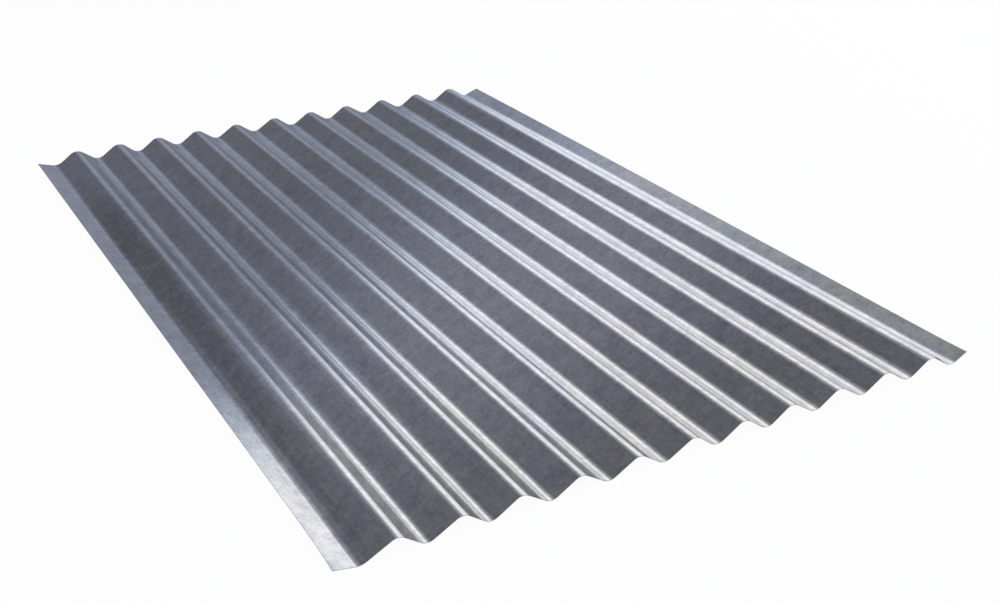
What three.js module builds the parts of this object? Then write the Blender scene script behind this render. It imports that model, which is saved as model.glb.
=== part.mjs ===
// Corrugated roofing sheet, small wave, cold rolled from one strip of galvanised steel.
// Millimetres. +X runs across the waves, +Y along them and +Z up; the sheet lies with its
// valleys on the plane z = 0 and its plan centred on the origin.
import * as THREE from 'three';

// Overall sizes.
const SHEET_LENGTH = 1320; // along the waves, between the two sheared ends
const CREST_COUNT = 11; // whole crests, with one more valley than crests

// Section, measured on the middle of the steel.
const PITCH = 76; // crest to crest
const WAVE_DEPTH = 19; // lowest valley line to highest crest line
const BEND_RADIUS = 16; // every crest and every valley
const EDGE_RUN = 32; // outer valley line to the free edge, across the sheet
const EDGE_RISE = 10; // free edge above the outer valley line
const STEEL_THICKNESS = 0.5;

// Facets in one bend, an odd number, so that each crest and valley has a level one to sit on.
const BEND_FACETS = 9;

const COVER_WIDTH = PITCH * CREST_COUNT; // outer valley line to outer valley line

// The straight flank between two bends touches both of their circles and passes between
// them. Returns its slope above the horizontal and its length.
function flankBetweenBends() {
  const across = PITCH / 2;
  const up = WAVE_DEPTH - 2 * BEND_RADIUS; // from valley circle centre to crest circle centre
  const lengthSquared = across ** 2 + up ** 2 - (2 * BEND_RADIUS) ** 2;
  if (lengthSquared < 0) {
    throw new Error('BEND_RADIUS leaves no room for a flank at this PITCH and WAVE_DEPTH');
  }
  const length = Math.sqrt(lengthSquared);
  const slope = Math.atan2(2 * BEND_RADIUS, length) + Math.atan2(up, across);
  return { slope, length };
}

// The side lap leaves the outer valley's circle at a tangent and ends at the free edge.
// Returns its slope above the horizontal and its length.
function lapBeyondOuterValley() {
  const up = EDGE_RISE - BEND_RADIUS; // from valley circle centre to the free edge
  const lengthSquared = EDGE_RUN ** 2 + up ** 2 - BEND_RADIUS ** 2;
  if (lengthSquared < 0) {
    throw new Error('EDGE_RUN ends the sheet inside the bend of its outer valley');
  }
  const length = Math.sqrt(lengthSquared);
  const slope = Math.atan2(up, EDGE_RUN) + Math.atan2(BEND_RADIUS, length);
  return { slope, length };
}

const flank = flankBetweenBends();
const lap = lapBeyondOuterValley();

// The bends from left to right. Each valley turns about a centre above the steel and each
// crest about a centre below it, from the slope on its left to the slope on its right.
function bendsAcrossTheSheet() {
  const bends = [];
  for (let i = 0; i <= 2 * CREST_COUNT; i += 1) {
    const isValley = i % 2 === 0;
    bends.push({
      x: -COVER_WIDTH / 2 + (i * PITCH) / 2,
      z: isValley ? BEND_RADIUS : WAVE_DEPTH - BEND_RADIUS,
      isValley,
      leftSlope: i === 0 ? lap.slope : flank.slope,
      rightSlope: i === 2 * CREST_COUNT ? lap.slope : flank.slope,
    });
  }
  return bends;
}

// One face of one bend as a true arc, cut into facets with a level one in the middle and the
// rest shared between its two sides. side is +1 for the upper face of the steel and -1 for
// the lower, so the two faces stay a thickness apart all round.
function faceOfBend(bend, side) {
  const offset = (side * STEEL_THICKNESS) / 2;
  const radius = bend.isValley ? BEND_RADIUS - offset : BEND_RADIUS + offset;
  const middle = bend.isValley ? -Math.PI / 2 : Math.PI / 2;
  const turn = bend.isValley ? 1 : -1;
  const halfLevelFacet = flank.slope / BEND_FACETS;
  const arcBetween = (from, to) => {
    const start = middle + turn * from;
    const end = middle + turn * to;
    const arc = new THREE.ArcCurve(bend.x, bend.z, radius, start, end, !bend.isValley);
    return arc.getPoints((BEND_FACETS - 1) / 2);
  };
  const leftOfLevel = arcBetween(-bend.leftSlope, -halfLevelFacet);
  const rightOfLevel = arcBetween(halfLevelFacet, bend.rightSlope);
  return [...leftOfLevel, ...rightOfLevel];
}

// The corner of one face at a free edge, cut square to the steel. hand is -1 for the left
// edge and +1 for the right.
function cornerAtFreeEdge(hand, side) {
  const offset = (side * STEEL_THICKNESS) / 2;
  return new THREE.Vector2(
    hand * (COVER_WIDTH / 2 + EDGE_RUN - offset * Math.sin(lap.slope)),
    EDGE_RISE + offset * Math.cos(lap.slope),
  );
}

// One whole face of the section, from the left free edge to the right.
function faceOfSection(side) {
  const bends = bendsAcrossTheSheet();
  const middle = bends.flatMap((bend) => faceOfBend(bend, side));
  return [cornerAtFreeEdge(-1, side), ...middle, cornerAtFreeEdge(1, side)];
}

// The closed outline of the rolled section: back along the upper face over the lower one.
function rolledSection() {
  const lowerFace = faceOfSection(-1);
  const upperFace = faceOfSection(1).reverse();
  return new THREE.Shape([...lowerFace, ...upperFace]);
}

// The section drawn out along the sheet, turned to lie flat and set down on z = 0.
function sheetGeometry() {
  const geometry = new THREE.ExtrudeGeometry(rolledSection(), {
    depth: SHEET_LENGTH,
    bevelEnabled: false,
  });
  geometry.rotateX(Math.PI / 2);
  geometry.translate(0, SHEET_LENGTH / 2, 0);
  geometry.computeBoundingBox();
  geometry.translate(0, 0, -geometry.boundingBox.min.z);
  return geometry;
}

const galvanisedSteel = new THREE.MeshStandardMaterial({
  name: 'galvanised_steel',
  color: new THREE.Color(0.55, 0.56, 0.58),
  roughness: 0.4,
  metalness: 0.9,
});

const sheet = new THREE.Mesh(sheetGeometry(), galvanisedSteel);
sheet.name = 'corrugated_sheet';

const part = new THREE.Group();
part.name = 'corrugated_metal_sheet';
part.add(sheet);

export default part;
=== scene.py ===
import math

import bpy
import numpy as np
from bpy.props import FloatProperty, FloatVectorProperty, PointerProperty
from mathutils import Euler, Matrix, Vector


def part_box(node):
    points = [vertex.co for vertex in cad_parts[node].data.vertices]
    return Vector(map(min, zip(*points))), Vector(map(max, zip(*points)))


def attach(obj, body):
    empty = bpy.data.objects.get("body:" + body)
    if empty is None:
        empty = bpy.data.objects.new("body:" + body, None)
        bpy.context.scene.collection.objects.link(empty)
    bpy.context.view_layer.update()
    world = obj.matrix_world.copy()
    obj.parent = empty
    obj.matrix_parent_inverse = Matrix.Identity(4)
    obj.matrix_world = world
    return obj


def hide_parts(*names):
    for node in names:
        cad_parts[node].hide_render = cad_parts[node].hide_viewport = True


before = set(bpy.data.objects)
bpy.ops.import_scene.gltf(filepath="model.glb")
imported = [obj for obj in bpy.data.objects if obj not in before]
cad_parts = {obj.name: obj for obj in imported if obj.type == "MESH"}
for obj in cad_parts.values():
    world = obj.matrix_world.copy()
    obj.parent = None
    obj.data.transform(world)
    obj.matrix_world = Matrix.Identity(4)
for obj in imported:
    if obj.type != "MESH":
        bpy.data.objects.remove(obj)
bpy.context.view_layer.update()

bl_info = {
    "name": "Corrugated Metal Sheet",
    "version": (1, 0, 0),
    "blender": (4, 5, 0),
    "location": "3D View > Sidebar > Sheet",
    "description": "A galvanised corrugated steel sheet, its zinc finish and a plain studio",
    "category": "Add Mesh",
}

NODE = "corrugated_sheet"
CAD_LOW, CAD_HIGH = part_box(NODE)

BEND_STEPS = 14  # faces round one bend
FLANK_STEPS = 3  # faces across one straight flank
LAP_STEPS = 6  # faces across the flat of a side lap
LENGTH_STEPS = 84  # faces along the sheet
END_GAP = 0.0001  # from each end of the sheet to the end of the CAD model, in metres
FLOOR_GAP = 0.00001  # from the lowest steel to the floor of the CAD model, in metres


class SheetSizes(bpy.types.PropertyGroup):
    """Sizes of the rolled sheet, in metres."""

    length: FloatProperty(
        name="Length",
        description="Cut length along the waves",
        default=CAD_HIGH.y - CAD_LOW.y - 2 * END_GAP,
        unit="LENGTH",
    )
    pitch: FloatProperty(
        name="Pitch",
        description="Crest to crest",
        default=0.076,
        unit="LENGTH",
    )
    depth: FloatProperty(
        name="Wave depth",
        description="Valley line to crest line, on the middle of the steel",
        default=0.0189,
        unit="LENGTH",
    )
    bend_radius: FloatProperty(
        name="Bend radius",
        description="Radius of every crest and valley, on the middle of the steel",
        default=0.016,
        unit="LENGTH",
    )
    thickness: FloatProperty(
        name="Steel thickness",
        description="Thickness of the coated steel",
        default=0.0005,
        unit="LENGTH",
    )
    left_run: FloatProperty(
        name="Left lap",
        description="Left valley line to the free edge",
        default=0.028,
        unit="LENGTH",
    )
    left_rise: FloatProperty(
        name="Left edge rise",
        description="Height of the left free edge above its valley line",
        default=0.0079,
        unit="LENGTH",
    )
    left_lap_radius: FloatProperty(
        name="Left lap radius",
        description="Radius of the bend that leads to the left lap",
        default=0.016,
        unit="LENGTH",
    )
    left_skew: FloatProperty(
        name="Left lap skew",
        description="How much wider the left lap is at the back end than in the middle",
        default=0.001,
        unit="LENGTH",
    )
    right_run: FloatProperty(
        name="Right lap",
        description="Right valley line to the free edge",
        default=0.0292,
        unit="LENGTH",
    )
    right_rise: FloatProperty(
        name="Right edge rise",
        description="Height of the right free edge above its valley line",
        default=0.0112,
        unit="LENGTH",
    )
    right_lap_radius: FloatProperty(
        name="Right lap radius",
        description="Radius of the bend that leads to the right lap",
        default=0.022,
        unit="LENGTH",
    )
    right_skew: FloatProperty(
        name="Right lap skew",
        description="How much wider the right lap is at the back end than in the middle",
        default=0.0008,
        unit="LENGTH",
    )
    right_bow: FloatProperty(
        name="Right edge bow",
        description="Share of its rise that the right free edge loses at both ends",
        default=0.14,
        min=0.0,
        max=1.0,
        subtype="FACTOR",
    )
    corner_reach: FloatProperty(
        name="Corner reach",
        description="Way from the front end in which a corner's bend falls to about a third",
        default=0.035,
        unit="LENGTH",
    )
    left_droop: FloatProperty(
        name="Front left droop",
        description="How far the left free edge is pressed down at the front corner",
        default=0.0027,
        unit="LENGTH",
    )
    left_flare: FloatProperty(
        name="Front left flare",
        description="How much wider the left lap is pressed at the front corner",
        default=0.0013,
        unit="LENGTH",
    )
    right_push: FloatProperty(
        name="Front right push",
        description="How far the outer right valley is pushed out at the front corner",
        default=0.0022,
        unit="LENGTH",
    )
    right_tuck: FloatProperty(
        name="Front right tuck",
        description="How much narrower the right lap is at the front corner",
        default=0.0018,
        unit="LENGTH",
    )
    right_lift: FloatProperty(
        name="Front right lift",
        description="How far the right free edge is lifted at the front corner",
        default=0.0012,
        unit="LENGTH",
    )
    wander: FloatProperty(
        name="Wander",
        description="Unit of the sideways unevenness left in the waves by rolling",
        default=0.001,
        unit="LENGTH",
    )
    easing: FloatProperty(
        name="Easing",
        description="Unit by which the bends' radii stray from the bend radius",
        default=0.001,
        min=0.0,
        max=0.0015,
        precision=4,
        unit="LENGTH",
    )
    waver: FloatProperty(
        name="Waver",
        description="Largest unevenness in height left in the waves by rolling",
        default=0.0002,
        unit="LENGTH",
    )


class ZincFinish(bpy.types.PropertyGroup):
    """Colours and grain of the zinc coat and of the sheared edge."""

    bright_zinc: FloatVectorProperty(
        name="Bright zinc",
        description="Reflectance of the cleanest zinc",
        subtype="COLOR",
        size=3,
        min=0.0,
        max=1.0,
        default=(0.862, 0.858, 0.87),
    )
    dull_zinc: FloatVectorProperty(
        name="Dull zinc",
        description="Reflectance of the dullest zinc",
        subtype="COLOR",
        size=3,
        min=0.0,
        max=1.0,
        default=(0.465, 0.466, 0.484),
    )
    brown_bloom: FloatVectorProperty(
        name="Brown bloom",
        description="Tint of the zinc where it has browned",
        subtype="COLOR",
        size=3,
        min=0.0,
        max=1.0,
        default=(1.0, 0.982, 0.91),
    )
    blue_bloom: FloatVectorProperty(
        name="Blue bloom",
        description="Tint of the zinc where it has greyed",
        subtype="COLOR",
        size=3,
        min=0.0,
        max=1.0,
        default=(0.965, 0.985, 1.0),
    )
    sheared_steel: FloatVectorProperty(
        name="Sheared steel",
        description="Reflectance of the bare steel of the cut edge",
        subtype="COLOR",
        size=3,
        min=0.0,
        max=1.0,
        default=(0.34, 0.31, 0.29),
    )
    brown_steel: FloatVectorProperty(
        name="Browned steel",
        description="Tint of the bare steel where it has browned",
        subtype="COLOR",
        size=3,
        min=0.0,
        max=1.0,
        default=(0.62, 0.48, 0.36),
    )
    roughness: FloatProperty(
        name="Roughness",
        description="Mean roughness of the zinc",
        default=0.11,
        min=0.0,
        max=1.0,
        subtype="FACTOR",
    )
    grain: FloatProperty(
        name="Grain size",
        description="Size of the fine zinc grain",
        default=0.0055,
        unit="LENGTH",
    )
    spangle: FloatProperty(
        name="Spangle size",
        description="Size of the zinc crystals",
        default=0.009,
        unit="LENGTH",
    )
    grain_relief: FloatProperty(
        name="Grain relief",
        description="Height of the fine grain",
        default=0.000022,
        unit="LENGTH",
    )
    roll_relief: FloatProperty(
        name="Roll relief",
        description="Height of the long lines left by the rolls",
        default=0.00008,
        unit="LENGTH",
    )
    shear_relief: FloatProperty(
        name="Shear relief",
        description="Height of the upright lines left on the cut edge by the shear",
        default=0.00003,
        unit="LENGTH",
    )


class Studio(bpy.types.PropertyGroup):
    """Camera, lamps and floor."""

    camera_place: FloatVectorProperty(
        name="Camera place",
        description="Where the camera stands",
        subtype="TRANSLATION",
        unit="LENGTH",
        size=3,
        default=(-0.82815, -1.64795, 0.82772),
    )
    camera_turn: FloatVectorProperty(
        name="Camera turn",
        description="How the camera is turned",
        subtype="EULER",
        unit="ROTATION",
        size=3,
        default=tuple(math.radians(a) for a in (63.5158, -0.0992, -29.9803)),
    )
    camera_lens: FloatProperty(
        name="Focal length",
        description="Focal length on a sensor 36 mm wide, in millimetres",
        default=46.9316,
    )
    floor_reach: FloatProperty(
        name="Floor reach",
        description="How far the floor runs out on each side",
        default=12.0,
        unit="LENGTH",
    )
    floor_colour: FloatVectorProperty(
        name="Floor",
        description="Colour of the floor",
        subtype="COLOR",
        size=3,
        min=0.0,
        max=1.0,
        default=(0.18, 0.225, 0.3),
    )
    floor_white: FloatVectorProperty(
        name="Floor as seen",
        description="Colour of the floor that the camera sees under the glow",
        subtype="COLOR",
        size=3,
        min=0.0,
        max=1.0,
        default=(0.95, 0.95, 0.95),
    )
    floor_seen: FloatProperty(
        name="Floor glow",
        description="Share of white glow that the camera sees in the floor",
        default=0.96,
        min=0.0,
        max=1.0,
        subtype="FACTOR",
    )
    floor_in_metal: FloatProperty(
        name="Floor in metal",
        description="Share of white glow that polished surfaces see in the floor",
        default=0.1,
        min=0.0,
        max=1.0,
        subtype="FACTOR",
    )
    room_colour: FloatVectorProperty(
        name="Room",
        description="Colour of the room around the lamps",
        subtype="COLOR",
        size=3,
        min=0.0,
        max=1.0,
        default=(0.131, 0.134, 0.164),
    )
    room_seen: FloatProperty(
        name="Room seen",
        description="Share of white glow that the camera sees in the room",
        default=0.97,
        min=0.0,
        max=1.0,
        subtype="FACTOR",
    )
    room_in_metal: FloatProperty(
        name="Room in metal",
        description="Share of white glow that polished surfaces see in the room",
        default=0.02,
        min=0.0,
        max=1.0,
        subtype="FACTOR",
    )
    lamp_fringe: FloatVectorProperty(
        name="Lamp fringe",
        description="Colour that a softbox fades to at its edge, as a share of its own colour",
        subtype="COLOR",
        size=3,
        min=0.0,
        max=2.0,
        default=(0.64, 0.9, 1.1),
    )


def bell(value, middle, width):
    """The bell exp(-((value - middle) / width)^2)."""
    return np.exp(-(((value - middle) / width) ** 2))


def slope_of_flank(spacing, rise, radii):
    """Slope of the straight flank that touches two neighbouring bends, spacing apart and
    rise apart, with radii the sum of their radii: with u the rise less radii, the flank is
    sqrt(spacing^2 + u^2 - radii^2) long and rises at atan(radii / length) + atan(u /
    spacing)."""
    up = rise - radii
    length = np.sqrt(spacing**2 + up**2 - radii**2)
    return np.arctan2(radii, length) + np.arctan2(up, spacing)


def slope_of_lap(rise, run, radius):
    """Slope of the flat that leaves a valley's circle at a tangent and ends run out and rise
    up from the valley line: with s = sqrt(run^2 + (rise - r)^2 - r^2), it is
    atan((rise - r) / run) + atan(r / s)."""
    straight = np.sqrt(run**2 + (rise - radius) ** 2 - radius**2)
    return np.arctan2(rise - radius, run) + np.arctan2(radius, straight)


def front_corner(sizes, along):
    """How bent the front corners are at each place along: 1 at the front end, falling off
    as exp(-(way from the end) / reach)."""
    return np.exp(-(along + 1) * sizes.length / 2 / sizes.corner_reach)


def bend_wander(k, valley):
    """How far each bend strays from its even place at the middle of the sheet, and how much
    further it strays at the back end, both in wanders to the right. k counts pitches from
    the middle bend.

    A crest strays by 0.1 - cos(2 pi k / 10) + 1.2 cos(2 pi k / 5) - 0.12 k and by a narrow
    bell at the crests -4, 0, 2 and 5. A valley strays by -0.65 - 1.3 cos(2 pi k / 10) +
    0.5 cos(2 pi k / 5), and the outer left and right ones by 2.45 and 1.3 less. The lean
    to the back is -0.05 and a bell at 3 less a bell at -0.4, more at the left valleys and
    less at the middle crests."""
    outer = k[-1]
    slow = np.cos(2 * np.pi * k / 10)
    quick = np.cos(2 * np.pi * k / 5)
    crests = 0.1 - slow + 1.2 * quick - 0.12 * k
    crests += bell(k, -4, 0.4) + 0.6 * bell(k, 0, 0.4) - 0.6 * bell(k, 2, 0.6)
    crests += 0.7 * bell(k, 5, 0.4)
    valleys = -0.65 - 1.3 * slow + 0.5 * quick
    valleys -= 1.3 * bell(k, outer, 0.3) + 2.45 * bell(k, -outer, 0.3)
    lean = -0.05 + 1.6 * bell(k, 3, 1.3) - 0.75 * bell(k, -0.4, 1.4)
    valley_lean = 1.4 * bell(k, -5, 1.5) + bell(k, -outer, 0.3)
    crest_lean = -0.4 * bell(k, 0, 1.6)
    return np.where(valley, valleys, crests), lean + np.where(valley, valley_lean, crest_lean)


def bend_easing(k, valley):
    """How much wider than the bend radius each bend is at the middle of the sheet, and how
    much wider still at the back end, both in easings. k counts pitches from the middle bend.

    A crest is -0.6 wider, plus a bell at -4.5, less a bell at -1.4, plus a bell at 5. A
    valley is 0.2 + 0.15 k wider, plus bells at 0.2 and 4.05 and one of 7.4 at the outer left
    valley. The back end is 0.8 - 0.32 k wider for a crest and 0.45 - 0.2 k for a valley."""
    crests = -0.6 + 0.9 * bell(k, -4.5, 1.2) - 0.7 * bell(k, -1.4, 0.9)
    crests += 2.2 * bell(k, 5, 0.5)
    valleys = 0.2 + 0.15 * k + 1.1 * bell(k, 0.2, 0.8) + 3.9 * bell(k, 4.05, 0.7)
    valleys += 7.4 * bell(k, -k[-1], 0.3)
    opening = np.where(valley, 0.45 - 0.2 * k, 0.8 - 0.32 * k)
    return np.where(valley, valleys, crests), opening


def bend_lines(sizes, along):
    """Place across, height and radius of every bend, one row for each place along, and
    which of the bends are valleys. along runs from -1 at the front end to 1 at the back.

    Bend i of 2 n + 1 stands k = (i - n) / 2 pitches from the middle, and wanders from there
    by its own stray plus its lean times along. The outer right valley is also pushed out at
    the front corner. A valley's line is lifted and a crest's is dropped by a waver
    times 0.5 plus a quarter of the sum of two slow sines. A radius is the bend radius plus
    its easing and its opening times along."""
    waves = round((CAD_HIGH.x - CAD_LOW.x - sizes.left_run - sizes.right_run) / sizes.pitch)
    bend = np.arange(2 * waves + 1)
    valley = bend % 2 == 0
    k = (bend - waves) / 2
    row = along[:, None]
    stray, lean = bend_wander(k, valley)
    place = k * sizes.pitch + sizes.wander * (stray + lean * row)
    place[:, -1] += sizes.right_push * front_corner(sizes, along)
    sines = np.sin(0.9 * k + 2.2 * row) + np.sin(1.7 * k - 1.3 * row + 2)
    shift = sizes.waver * (0.5 + sines / 4)
    height = np.where(valley, shift, sizes.depth - shift)
    ease, opening = bend_easing(k, valley)
    radius = sizes.bend_radius + sizes.easing * (ease + opening * row)
    return place, height, radius, valley


def lap_ends(sizes, along):
    """Run and rise of the left and right free edges from their valley lines, along the
    sheet. Both laps widen evenly towards the back end. At the front corners the left one is
    pressed wider and down and the right one is narrower and lifted, and the rise of the
    right one also falls towards both ends by the square of the way from the middle."""
    corner = front_corner(sizes, along)
    left_run = sizes.left_run + sizes.left_flare * corner + sizes.left_skew * along
    left_rise = sizes.left_rise - sizes.left_droop * corner
    right_run = sizes.right_run + sizes.right_skew * along - sizes.right_tuck * corner
    right_rise = sizes.right_rise * (1 - sizes.right_bow * along**2)
    right_rise += sizes.right_lift * corner
    return left_run, left_rise, right_run, right_rise


def straight_run(start, end, steps):
    """Points from start to just before end, in equal steps along the last axis."""
    share = np.arange(steps) / steps
    return start[..., None] + (end - start)[..., None] * share


def section_lines(sizes, along):
    """Middle line of the section at each place along the sheet, as arrays of place across,
    height and slope, one row for each place along and one column for each step across.

    A bend turns by the angle a from its left flank's slope to its right flank's about a
    centre one radius above its valley line or below its crest line: x = xi + r sin a,
    z = zi + r (1 - cos a) for a valley and zi - r (1 - cos a) for a crest. The outer halves
    of the two outer valleys have the radii of their laps. Flanks and laps are straight."""
    place, height, radius, valley = bend_lines(sizes, along)
    flank = slope_of_flank(
        np.diff(place, axis=1),
        np.abs(np.diff(height, axis=1)),
        radius[:, :-1] + radius[:, 1:],
    )
    left_run, left_rise, right_run, right_rise = lap_ends(sizes, along)
    left_lap = slope_of_lap(left_rise, left_run, sizes.left_lap_radius)
    right_lap = slope_of_lap(right_rise, right_run, sizes.right_lap_radius)
    start = -np.concatenate([left_lap[:, None], flank], axis=1)
    end = np.concatenate([flank, right_lap[:, None]], axis=1)
    before, after = radius.copy(), radius.copy()
    before[:, 0] = sizes.left_lap_radius
    after[:, -1] = sizes.right_lap_radius

    half = np.linspace(0, 1, BEND_STEPS // 2 + 1)
    turn = np.concatenate(
        [start[..., None] * (1 - half[:-1]), end[..., None] * half], axis=-1
    )
    bend_radius = np.where(turn < 0, before[..., None], after[..., None])
    hand = np.where(valley, 1.0, -1.0)[:, None]
    x = place[..., None] + bend_radius * np.sin(turn)
    z = height[..., None] + hand * bend_radius * (1 - np.cos(turn))
    slope = hand * turn

    rows = []
    edges = (
        (place[:, 0] - left_run, place[:, -1] + right_run),
        (height[:, 0] + left_rise, height[:, -1] + right_rise),
        (slope[:, 0, 0], slope[:, -1, -1]),
    )
    for line, (left, right) in zip((x, z, slope), edges):
        flanks = straight_run(line[:, :-1, -1], line[:, 1:, 0], FLANK_STEPS)[..., 1:]
        waves = np.concatenate([line[:, :-1], flanks], axis=2).reshape(along.size, -1)
        left = straight_run(left, line[:, 0, 0], LAP_STEPS)
        right = straight_run(right, line[:, -1, -1], LAP_STEPS)[:, ::-1]
        rows.append(np.concatenate([left, waves, line[:, -1], right], axis=1))
    return rows


def sheet_surface(sizes):
    """Corners of the upper and lower faces of the sheet, as two grids of points, with their
    places across and along the developed sheet.

    A face's point is the middle line's point moved half the thickness along the normal
    (-sin slope, cos slope)."""
    along = np.linspace(-1, 1, LENGTH_STEPS + 1)
    x, z, slope = section_lines(sizes, along)
    y = np.broadcast_to(along[:, None] * sizes.length / 2, x.shape)
    half = sizes.thickness / 2
    z = z + CAD_LOW.z + half + FLOOR_GAP
    faces = [
        np.stack([x - side * np.sin(slope), y, z + side * np.cos(slope)], axis=-1)
        for side in (half, -half)
    ]
    across = np.hypot(np.diff(x, axis=1), np.diff(z, axis=1))
    across = np.concatenate([np.zeros((along.size, 1)), np.cumsum(across, 1)], axis=1)
    return faces, across - across[:, -1:] / 2, y


def grid_faces(rows, columns, first):
    """Corner numbers of the four-sided faces of a grid whose corners are numbered by rows
    from first, turned so that they face up."""
    corner = first + np.arange(rows * columns).reshape(rows, columns)
    return np.stack(
        [corner[:-1, :-1], corner[:-1, 1:], corner[1:, 1:], corner[1:, :-1]], axis=-1
    ).reshape(-1, 4)


def rim_faces(upper, lower):
    """Faces of the cut edge between two matching loops of corner numbers."""
    return np.stack([upper, lower, np.roll(lower, -1), np.roll(upper, -1)], axis=-1)


def rim_loop(rows, columns, first):
    """Corner numbers round the outside of a grid, anticlockwise seen from above."""
    corner = first + np.arange(rows * columns).reshape(rows, columns)
    return np.concatenate(
        [corner[0, :-1], corner[:-1, -1], corner[-1, :0:-1], corner[:0:-1, 0]]
    )


def sheet_mesh(sizes):
    """The whole closed skin of the sheet: upper face, lower face and the cut edge, with a
    map of the developed sheet in metres."""
    (top, bottom), across, along = sheet_surface(sizes)
    rows, columns = across.shape
    count = rows * columns
    points = np.concatenate([top.reshape(-1, 3), bottom.reshape(-1, 3)])
    upper = grid_faces(rows, columns, 0)
    lower = grid_faces(rows, columns, count)[:, ::-1]
    rim = rim_faces(rim_loop(rows, columns, 0), rim_loop(rows, columns, count))
    faces = np.concatenate([upper, lower, rim])

    mesh = bpy.data.meshes.new("rolled_sheet")
    mesh.vertices.add(len(points))
    mesh.vertices.foreach_set("co", points.astype(np.float32).ravel())
    mesh.loops.add(faces.size)
    mesh.loops.foreach_set("vertex_index", faces.astype(np.int32).ravel())
    mesh.polygons.add(len(faces))
    mesh.polygons.foreach_set("loop_start", np.arange(0, faces.size, 4, dtype=np.int32))
    smooth = np.ones(len(faces), bool)
    smooth[-len(rim) :] = False
    mesh.polygons.foreach_set("use_smooth", smooth)
    mesh.polygons.foreach_set(
        "material_index", np.where(smooth, 0, 1).astype(np.int32)
    )
    developed = np.stack([across, along], axis=-1).reshape(-1, 2)
    developed = np.concatenate([developed, developed])[faces.ravel()]
    mesh.uv_layers.new(name="developed").data.foreach_set(
        "uv", developed.astype(np.float32).ravel()
    )
    mesh.update(calc_edges=True)
    edges = mesh.attributes.get("sharp_edge") or mesh.attributes.new(
        "sharp_edge", "BOOLEAN", "EDGE"
    )
    pairs = np.empty(len(mesh.edges) * 2, np.int32)
    mesh.edges.foreach_get("vertices", pairs)
    on_rim = np.zeros(2 * count, bool)
    on_rim[rim.ravel()] = True
    pairs = pairs.reshape(-1, 2)
    edges.data.foreach_set("value", on_rim[pairs[:, 0]] & on_rim[pairs[:, 1]])
    if mesh.validate():
        raise RuntimeError("the sheet's mesh had faces that had to be mended")
    return mesh


class NodeTools:
    """Empties a node tree, and adds and links nodes in it."""

    def __init__(self, tree):
        tree.nodes.clear()
        self.new = tree.nodes.new
        self.link = tree.links.new

    def add(self, kind, **settings):
        """A new node, with values for its sockets or its own settings by name."""
        node = self.new(kind)
        for key, value in settings.items():
            if key in node.inputs:
                node.inputs[key].default_value = value
            else:
                setattr(node, key, value)
        return node

    def noise(self, vector, size, detail=2.0, stretch=(1.0, 1.0, 1.0), shift=0.0):
        """Noise from 0 to 1 whose grain is size times stretch, in metres."""
        scale = [1 / (size * share) for share in stretch]
        place = self.add("ShaderNodeMapping", Location=(shift, shift, shift), Scale=scale)
        self.link(vector, place.inputs["Vector"])
        pattern = self.add("ShaderNodeTexNoise", Scale=1.0, Detail=detail, Roughness=0.6)
        self.link(place.outputs["Vector"], pattern.inputs["Vector"])
        return pattern.outputs["Fac"]

    def weigh(self, middle, *terms):
        """middle plus the sum of weight * (pattern - 0.5) over the terms."""
        total = None
        for pattern, weight in terms:
            part = self.add("ShaderNodeMath", operation="MULTIPLY_ADD")
            self.link(pattern, part.inputs[0])
            part.inputs[1].default_value = weight
            if total is None:
                part.inputs[2].default_value = middle - 0.5 * sum(w for _, w in terms)
            else:
                self.link(total, part.inputs[2])
            total = part.outputs[0]
        return total

    def blend(self, share, first, second, mode="MIX"):
        """A mix of two colours, each a socket or three numbers, by a share."""
        mix = self.add("ShaderNodeMix", data_type="RGBA", blend_type=mode, clamp_factor=True)
        for name, value in (("Factor", share), ("A", first), ("B", second)):
            # a colour mix keeps its factor and its colours on sockets of their own types
            kind = "VALUE" if name == "Factor" else "RGBA"
            socket = next(i for i in mix.inputs if i.name == name and i.type == kind)
            if isinstance(value, bpy.types.NodeSocket):
                self.link(value, socket)
            elif name == "Factor":
                socket.default_value = value
            else:
                socket.default_value = (*value, 1)
        return next(o for o in mix.outputs if o.type == "RGBA")

    def ramp(self, value, start, end):
        """A smooth step from 0 at start to 1 at end, or down where start is the higher."""
        step = self.add("ShaderNodeMapRange", interpolation_type="SMOOTHSTEP")
        step.inputs["From Min"].default_value = min(start, end)
        step.inputs["From Max"].default_value = max(start, end)
        step.inputs["To Min"].default_value = 0.0 if start < end else 1.0
        step.inputs["To Max"].default_value = 1.0 if start < end else 0.0
        self.link(value, step.inputs["Value"])
        return step.outputs["Result"]

    def seen_white(self, shader, glow, seen, in_metal):
        """The shader mixed with a white node of the kind glow: by the share seen for a camera
        ray and by the share in_metal for a glossy or a transmission ray, and by nothing for
        the rays that light the sheet."""
        path = self.add("ShaderNodeLightPath")
        total = None
        for ray, share in (
            ("Is Camera Ray", seen),
            ("Is Glossy Ray", in_metal),
            ("Is Transmission Ray", in_metal),
        ):
            part = self.add("ShaderNodeMath", operation="MULTIPLY_ADD", use_clamp=True)
            self.link(path.outputs[ray], part.inputs[0])
            part.inputs[1].default_value = share
            part.inputs[2].default_value = 0.0
            if total is not None:
                self.link(total, part.inputs[2])
            total = part.outputs[0]
        mix = self.add("ShaderNodeMixShader")
        self.link(total, mix.inputs["Fac"])
        self.link(shader, mix.inputs[1])
        white = self.add(glow, Color=(1, 1, 1, 1), Strength=1.0)
        self.link(white.outputs[0], mix.inputs[2])
        return mix.outputs["Shader"]


def new_material(name):
    """A new node material and the tools for its emptied tree."""
    material = bpy.data.materials.new(name)
    material.use_nodes = True
    return material, NodeTools(material.node_tree)


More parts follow.
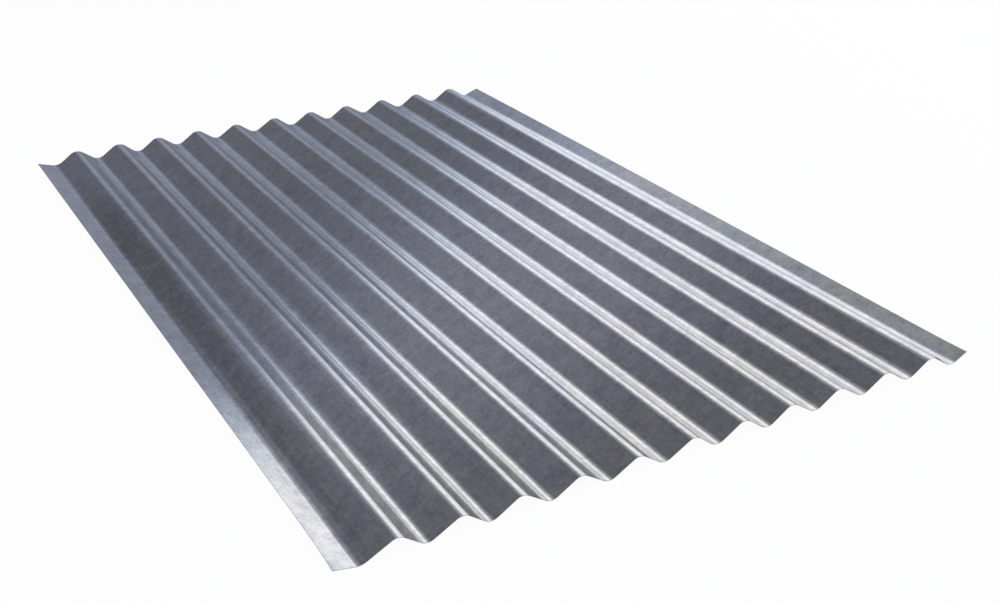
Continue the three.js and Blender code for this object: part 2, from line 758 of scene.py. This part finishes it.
def zinc_material(finish):
    """Galvanised steel. Reflectance runs from dull to bright zinc by a fine grain, coarser
    specks, slow clouds, the long lines of the rolls, dull streaks and the crystals of the
    spangle. The first flank inside the left lap is duller in the middle of its length, the
    lap beside it a little duller and the rear end a little brighter. A blue or a brown bloom
    lies over it in patches, clouds and stains, browner at the front end and where it is
    dull. The grain and the roll lines also stand in low relief, and the clouds, the crystals
    and the grain differ in roughness."""
    material, tools = new_material("galvanised_zinc")
    noise, weigh, blend, ramp = tools.noise, tools.weigh, tools.blend, tools.ramp
    place = tools.add("ShaderNodeTexCoord").outputs["Object"]
    flat = tools.add("ShaderNodeUVMap", uv_map="developed").outputs["UV"]

    grain = noise(place, finish.grain, detail=2.0)
    specks = noise(place, 3.2 * finish.grain, detail=2.0, shift=1.3)
    clouds = noise(place, size=0.045, detail=4.0, shift=3.7)
    patches = noise(place, size=0.16, detail=2.0, shift=9.1)
    stains = noise(place, size=0.014, detail=3.0, shift=6.2)
    lines = noise(flat, size=0.004, detail=3.0, stretch=(1.0, 180.0, 1.0))
    streaks = noise(flat, size=0.0045, detail=2.0, stretch=(1.0, 60.0, 1.0), shift=2.6)
    ridges = noise(flat, size=0.011, detail=3.0, stretch=(1.0, 60.0, 1.0), shift=5.3)
    crystals = tools.add("ShaderNodeTexVoronoi", Scale=1 / finish.spangle, Randomness=1.0)
    tools.link(flat, crystals.inputs["Vector"])
    crystal = tools.add("ShaderNodeSeparateColor")
    tools.link(crystals.outputs["Color"], crystal.inputs["Color"])
    tone = crystal.outputs["Red"]

    where = tools.add("ShaderNodeSeparateXYZ")
    tools.link(place, where.inputs["Vector"])
    across, along = where.outputs["X"], where.outputs["Y"]
    left = ramp(across, start=-0.36, end=-0.40)
    lap = ramp(across, start=-0.416, end=-0.424)
    front = ramp(along, start=-0.1, end=-0.6)
    rear = ramp(along, start=0.3, end=0.6)
    trough = weigh(1.0, (left, 1.0), (lap, -1.2), (front, -0.7), (rear, -0.7))
    dull = ramp(trough, start=2.0, end=2.8)
    streak = ramp(weigh(0.5, (streaks, 1.0), (front, 0.06), (left, 0.08)), start=0.56, end=0.78)

    share = weigh(
        0.27,
        (grain, 1.1),
        (specks, 0.9),
        (clouds, 0.55),
        (lines, 0.2),
        (streak, -0.3),
        (tone, 0.08),
        (dull, -0.45),
        (lap, -0.12),
        (rear, 0.12),
    )
    brown = weigh(0.6, (patches, 1.6), (clouds, 0.9), (stains, 2.2), (front, 0.7), (dull, 0.5))
    zinc = blend(share, finish.dull_zinc, finish.bright_zinc)
    bloom = blend(brown, finish.blue_bloom, finish.brown_bloom)
    matt = weigh(finish.roughness, (clouds, 0.10), (tone, 0.02), (grain, 0.05))
    shader = tools.add("ShaderNodeBsdfPrincipled", Metallic=1.0)
    tools.link(blend(1.0, zinc, bloom, "MULTIPLY"), shader.inputs["Base Color"])
    tools.link(matt, shader.inputs["Roughness"])

    relief = tools.add("ShaderNodeBump", Strength=1.0, Distance=finish.roll_relief)
    tools.link(ridges, relief.inputs["Height"])
    fine = tools.add("ShaderNodeBump", Strength=1.0, Distance=finish.grain_relief)
    tools.link(grain, fine.inputs["Height"])
    tools.link(relief.outputs["Normal"], fine.inputs["Normal"])
    tools.link(fine.outputs["Normal"], shader.inputs["Normal"])
    out = tools.add("ShaderNodeOutputMaterial")
    tools.link(shader.outputs["BSDF"], out.inputs["Surface"])
    return material


def cut_edge_material(finish):
    """The sheared edge: bare steel, browned in spots, with the fine upright lines that the
    shear leaves."""
    material, tools = new_material("sheared_edge")
    place = tools.add("ShaderNodeTexCoord").outputs["Object"]
    spots = tools.noise(place, size=0.004, detail=3.0)
    lines = tools.noise(place, size=0.0006, detail=2.0, stretch=(1.0, 1.0, 6.0), shift=1.9)
    brown = tuple(c * t for c, t in zip(finish.sheared_steel, finish.brown_steel))
    colour = tools.blend(
        tools.weigh(0.4, (spots, 3.0), (lines, 1.0)), finish.sheared_steel, brown
    )
    shader = tools.add("ShaderNodeBsdfPrincipled", Metallic=0.85)
    tools.link(colour, shader.inputs["Base Color"])
    tools.link(tools.weigh(0.5, (spots, 0.4), (lines, 0.2)), shader.inputs["Roughness"])
    relief = tools.add("ShaderNodeBump", Strength=1.0, Distance=finish.shear_relief)
    tools.link(lines, relief.inputs["Height"])
    tools.link(relief.outputs["Normal"], shader.inputs["Normal"])
    out = tools.add("ShaderNodeOutputMaterial")
    tools.link(shader.outputs["BSDF"], out.inputs["Surface"])
    return material


def floor_material(studio):
    """A matt floor that reads as white to the camera and pale in the metal, and still takes
    the sheet's shadow: its own colour, near white for the camera, mixed with a white glow."""
    material, tools = new_material("studio_floor")
    camera_ray = tools.add("ShaderNodeLightPath").outputs["Is Camera Ray"]
    matt = tools.add("ShaderNodeBsdfDiffuse")
    colour = tools.blend(camera_ray, studio.floor_colour, studio.floor_white)
    tools.link(colour, matt.inputs["Color"])
    surface = tools.seen_white(
        matt.outputs["BSDF"],
        "ShaderNodeEmission",
        studio.floor_seen,
        studio.floor_in_metal,
    )
    out = tools.add("ShaderNodeOutputMaterial")
    tools.link(surface, out.inputs["Surface"])
    return material


def room_world(studio):
    """The room round the lamps: its own dim colour where it lights the sheet, mixed with
    white for the camera and, by a small share, for what is seen in the metal."""
    world = bpy.data.worlds.new("studio_room")
    world.use_nodes = True
    tools = NodeTools(world.node_tree)
    dim = tools.add("ShaderNodeBackground", Color=(*studio.room_colour, 1), Strength=1.0)
    surface = tools.seen_white(
        dim.outputs["Background"],
        "ShaderNodeBackground",
        studio.room_seen,
        studio.room_in_metal,
    )
    out = tools.add("ShaderNodeOutputWorld")
    tools.link(surface, out.inputs["Surface"])
    return world


def softbox(name, aim, size, edge, strength, colour, fringe):
    """A rectangular soft lamp that faces the sheet and fades out over its edge. aim is its
    azimuth in degrees from +Y towards +X, its elevation in degrees above the floor and its
    distance in metres. size is its width and height and edge the width of the fade, in
    metres. strength is the radiance of its middle, where 1 is white. The fade is the product
    of a smooth step from each pair of sides, and the light goes to the fringe colour as it
    fades."""
    azimuth, elevation = math.radians(aim[0]), math.radians(aim[1])
    level = math.cos(elevation)
    toward = (math.sin(azimuth) * level, math.cos(azimuth) * level, math.sin(elevation))
    place = aim[2] * Vector(toward)
    lamp = bpy.data.lights.new(name, "AREA")
    lamp.shape = "RECTANGLE"
    lamp.size, lamp.size_y = size
    lamp.color = colour
    lamp.energy = strength * math.pi * size[0] * size[1]
    lamp.use_nodes = True
    tools = NodeTools(lamp.node_tree)
    sides = tools.add("ShaderNodeSeparateXYZ")
    parametric = tools.add("ShaderNodeNewGeometry").outputs["Parametric"]
    tools.link(parametric, sides.inputs["Vector"])
    both = tools.add("ShaderNodeMath", operation="MULTIPLY")
    for side, length, socket in zip("XY", size, both.inputs):
        middle = tools.add("ShaderNodeMath", operation="SUBTRACT")
        tools.link(sides.outputs[side], middle.inputs[0])
        middle.inputs[1].default_value = 0.5
        way = tools.add("ShaderNodeMath", operation="ABSOLUTE")
        tools.link(middle.outputs[0], way.inputs[0])
        fade = tools.add("ShaderNodeMapRange", interpolation_type="SMOOTHSTEP")
        fade.inputs["From Min"].default_value = 0.5
        fade.inputs["From Max"].default_value = 0.5 - min(edge / length, 0.5)
        tools.link(way.outputs[0], fade.inputs["Value"])
        tools.link(fade.outputs["Result"], socket)
    tint = tools.add("ShaderNodeMixRGB", Color1=(*fringe, 1), Color2=(1, 1, 1, 1))
    tools.link(both.outputs[0], tint.inputs["Fac"])
    glow = tools.add("ShaderNodeEmission")
    tools.link(tint.outputs["Color"], glow.inputs["Color"])
    tools.link(both.outputs[0], glow.inputs["Strength"])
    out = tools.add("ShaderNodeOutputLight")
    tools.link(glow.outputs["Emission"], out.inputs["Surface"])
    holder = bpy.data.objects.new(name, lamp)
    holder.location = place
    holder.rotation_euler = (-place).to_track_quat("-Z", "Y").to_euler()
    holder.visible_camera = False
    bpy.context.scene.collection.objects.link(holder)
    return holder


class SHEET_OT_rolled_sheet(bpy.types.Operator):
    """Roll the corrugated sheet and give it its zinc finish"""

    bl_idname = "sheet.rolled_sheet"
    bl_label = "Corrugated sheet"

    def execute(self, context):
        scene = context.scene
        piece = bpy.data.objects.new("rolled_sheet", sheet_mesh(scene.sheet_sizes))
        scene.collection.objects.link(piece)
        piece.data.materials.append(zinc_material(scene.zinc_finish))
        piece.data.materials.append(cut_edge_material(scene.zinc_finish))
        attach(piece, "root")
        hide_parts(NODE)
        return {"FINISHED"}


class SHEET_OT_studio(bpy.types.Operator):
    """Set the floor, the soft lamps and the camera"""

    bl_idname = "sheet.studio"
    bl_label = "Studio"

    def execute(self, context):
        scene = context.scene
        studio = scene.sheet_studio
        reach = studio.floor_reach
        corners = [(-reach, -reach, 0), (reach, -reach, 0), (reach, reach, 0), (-reach, reach, 0)]
        mesh = bpy.data.meshes.new("studio_floor")
        mesh.from_pydata(corners, [], [(0, 1, 2, 3)])
        floor = bpy.data.objects.new("studio_floor", mesh)
        floor.data.materials.append(floor_material(studio))
        scene.collection.objects.link(floor)

        scene.world = room_world(studio)

        fringe = tuple(studio.lamp_fringe)
        # the bright bands along the crests
        softbox(
            "side_softbox",
            aim=(73.2, 23.0, 2.0),
            size=(4.46, 2.79),
            edge=0.8,
            strength=0.65,
            colour=(1.03, 1.0, 1.02),
            fringe=fringe,
        )
        # a wide dim panel round the first lamp
        softbox(
            "side_panel",
            aim=(80.3, 36.5, 2.0),
            size=(14.1, 3.5),
            edge=1.9,
            strength=0.183,
            colour=(0.91, 0.99, 1.22),
            fringe=fringe,
        )
        # a dim warm panel above both
        softbox(
            "high_softbox",
            aim=(89.4, 55.0, 2.89),
            size=(9.36, 4.2),
            edge=1.1,
            strength=0.135,
            colour=(1.02, 1.0, 0.84),
            fringe=fringe,
        )
        # a faint cool strip above the back end
        softbox(
            "back_strip",
            aim=(4.5, 42.2, 2.0),
            size=(2.83, 1.35),
            edge=0.64,
            strength=0.093,
            colour=(1.0, 1.0, 1.2),
            fringe=fringe,
        )
        # plain light from above, out of the main camera's mirror directions
        softbox(
            "overhead_softbox",
            aim=(190.0, 70.0, 2.6),
            size=(12.0, 3.9),
            edge=1.5,
            strength=1.0,
            colour=(1.0, 1.0, 1.0),
            fringe=fringe,
        )
        # plain light from low on the camera's side
        softbox(
            "rear_softbox",
            aim=(190.0, 16.0, 2.6),
            size=(10.0, 2.0),
            edge=0.9,
            strength=0.55,
            colour=(1.0, 1.0, 1.0),
            fringe=fringe,
        )

        camera = bpy.data.cameras.new("camera")
        camera.sensor_fit = "HORIZONTAL"
        camera.sensor_width = 36.0
        camera.lens = studio.camera_lens
        camera.clip_end = 100.0
        holder = bpy.data.objects.new("camera", camera)
        holder.location = studio.camera_place
        holder.rotation_euler = Euler(studio.camera_turn, "XYZ")
        scene.collection.objects.link(holder)
        scene.camera = holder
        scene.view_settings.view_transform = "Standard"
        return {"FINISHED"}


class SHEET_PT_panel(bpy.types.Panel):
    """Sizes, finish and studio of the corrugated sheet"""

    bl_idname = "SHEET_PT_panel"
    bl_label = "Corrugated metal sheet"
    bl_space_type = "VIEW_3D"
    bl_region_type = "UI"
    bl_category = "Sheet"

    def draw(self, context):
        scene = context.scene
        for group, operator in (
            (scene.sheet_sizes, SHEET_OT_rolled_sheet.bl_idname),
            (scene.zinc_finish, None),
            (scene.sheet_studio, SHEET_OT_studio.bl_idname),
        ):
            column = self.layout.column(align=True)
            for name in group.__annotations__:
                column.prop(group, name)
            if operator:
                column.operator(operator)


CLASSES = (
    SheetSizes,
    ZincFinish,
    Studio,
    SHEET_OT_rolled_sheet,
    SHEET_OT_studio,
    SHEET_PT_panel,
)


def register():
    for item in CLASSES:
        bpy.utils.register_class(item)
    bpy.types.Scene.sheet_sizes = PointerProperty(type=SheetSizes)
    bpy.types.Scene.zinc_finish = PointerProperty(type=ZincFinish)
    bpy.types.Scene.sheet_studio = PointerProperty(type=Studio)


def unregister():
    del bpy.types.Scene.sheet_studio
    del bpy.types.Scene.zinc_finish
    del bpy.types.Scene.sheet_sizes
    for item in reversed(CLASSES):
        bpy.utils.unregister_class(item)


def main():
    """Build every piece and the studio."""
    register()
    bpy.ops.sheet.rolled_sheet()
    bpy.ops.sheet.studio()
    bpy.context.view_layer.update()


if __name__ == "__main__":
    main()
